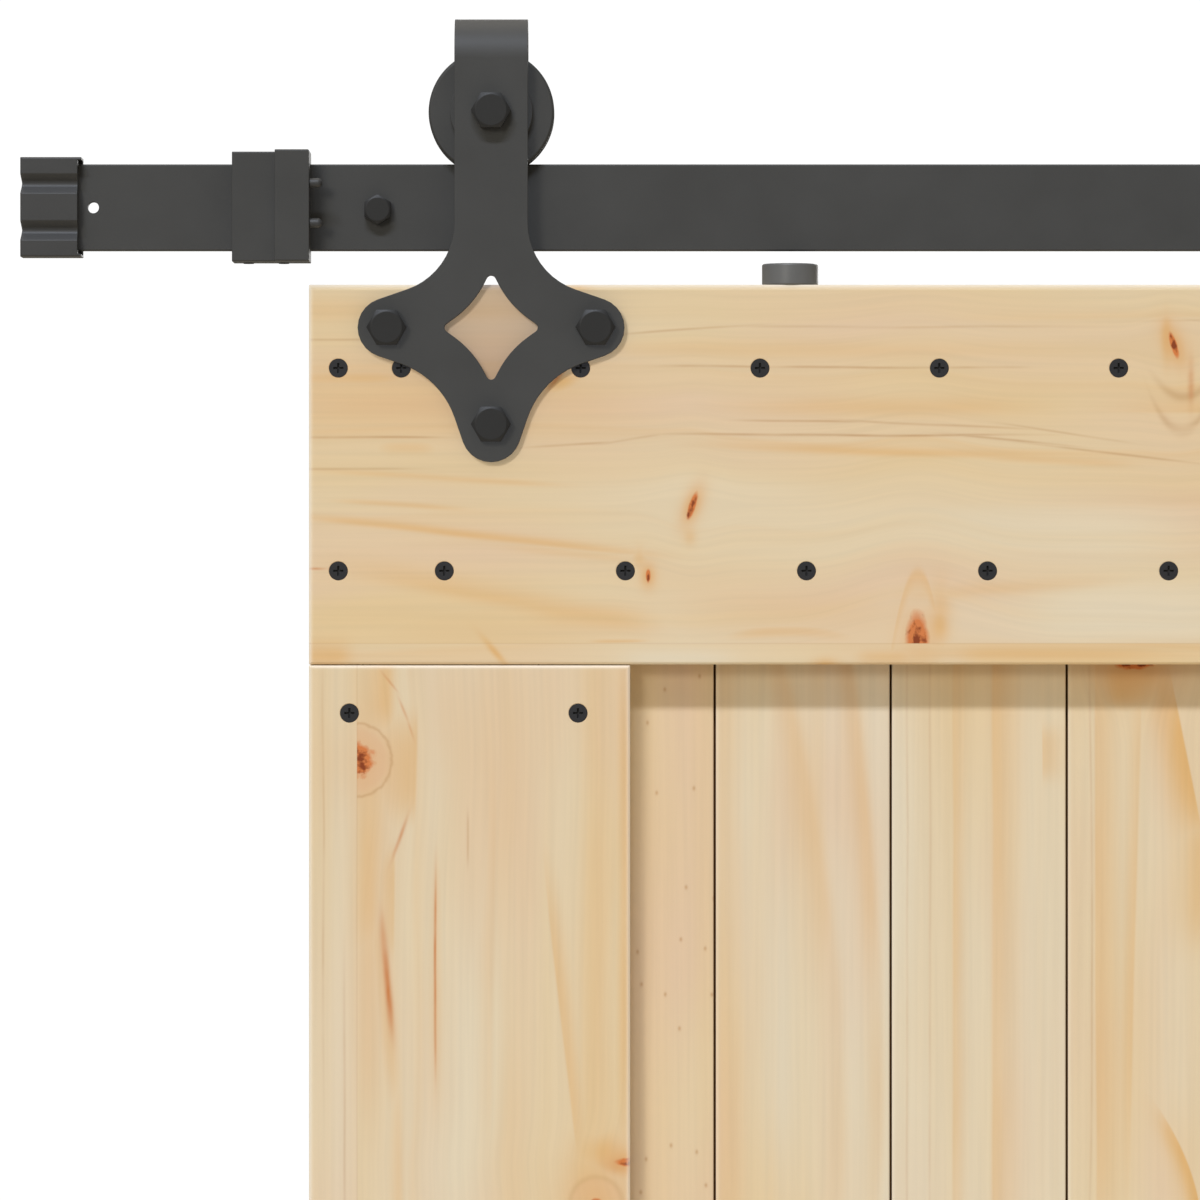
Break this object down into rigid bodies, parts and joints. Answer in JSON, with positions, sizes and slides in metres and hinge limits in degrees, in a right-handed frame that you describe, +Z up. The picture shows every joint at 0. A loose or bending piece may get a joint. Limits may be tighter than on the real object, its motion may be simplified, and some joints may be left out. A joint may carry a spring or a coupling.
{
  "type": "sliding barn door",
  "caption": "Sliding barn door of pine boards, hung by bent strap hangers with grooved wheels from a flat black wall rail with stops and end caps, with a floor guide.",
  "frame": {"origin": "middle of the row of wall bolts, on the wall plane", "axes": "+X along the rail to the right as seen from the room, +Y into the wall, +Z up; the door's face looks along -Y"},
  "size_m": [1.8366, 0.1044, 2.2331],
  "materials": {
    "black_steel": "charcoal black powder coat, satin",
    "black_bolt": "black oxide, satin",
    "black_screw": "black phosphate",
    "black_rubber": "matt",
    "grey_nylon": "satin",
    "bearing_steel": "bright, ground",
    "pine": "planed knotty pine, untreated, matt"
  },
  "bodies": {
    "rail": {"rail": "black_steel", "end_cap_left": "black_rubber", "end_cap_right": "black_rubber", "stop_left": "black_steel", "stop_right": "black_steel", "stop_bumpers_left": "black_rubber", "stop_bumpers_right": "black_rubber", "stop_set_screws": "black_bolt", "wall_bolts": "black_bolt", "wall_spacer_1": "black_steel", "wall_spacer_2": "black_steel", "wall_spacer_3": "black_steel", "wall_spacer_4": "black_steel", "floor_guide": "black_steel", "floor_guide_pads": "grey_nylon"},
    "door": {"header": "pine", "bottom_rail": "pine", "stile_left": "pine", "stile_right": "pine", "slat_1": "pine", "slat_2": "pine", "slat_3": "pine", "slat_4": "pine", "slat_5": "pine", "slat_6": "pine", "slat_7": "pine", "slat_8": "pine", "slat_9": "pine", "slat_10": "pine", "slat_11": "pine", "slat_12": "pine", "header_screws": "black_screw", "bottom_rail_screws": "black_screw", "stile_screws": "black_screw", "anti_jump_disc_left": "grey_nylon", "anti_jump_disc_right": "grey_nylon", "anti_jump_screws": "black_screw", "hanger_left": "black_steel", "hanger_right": "black_steel", "hanger_bolts": "black_bolt", "sleeve_nuts": "black_bolt", "axle_bolts": "black_bolt", "axle_nuts": "black_bolt", "axle_bushes": "bearing_steel", "bearing_inner_left": "bearing_steel", "bearing_inner_right": "bearing_steel"},
    "wheel_left": {"wheel_left": "black_steel", "bearing_outer_left": "bearing_steel", "retaining_ring_left": "black_bolt"},
    "wheel_right": {"wheel_right": "black_steel", "bearing_outer_right": "bearing_steel", "retaining_ring_right": "black_bolt"}
  },
  "joints": [
    {"name": "door_slide", "type": "slide", "parent": "rail", "child": "door", "axis": [1, 0, 0], "range_m": [-0.0604, 0.7304]},
    {"name": "wheel_left_spin", "type": "hinge", "parent": "door", "child": "wheel_left", "pos_m": [-0.701, -0.034, 0.0448], "axis": [0, 1, 0], "continuous": true},
    {"name": "wheel_right_spin", "type": "hinge", "parent": "door", "child": "wheel_right", "pos_m": [0.031, -0.034, 0.0448], "axis": [0, 1, 0], "continuous": true}
  ],
  "couplings": [
    {"joint": "wheel_left_spin", "follows": "door_slide", "rad_per_m": 42.373},
    {"joint": "wheel_right_spin", "follows": "door_slide", "rad_per_m": 42.373}
  ]
}
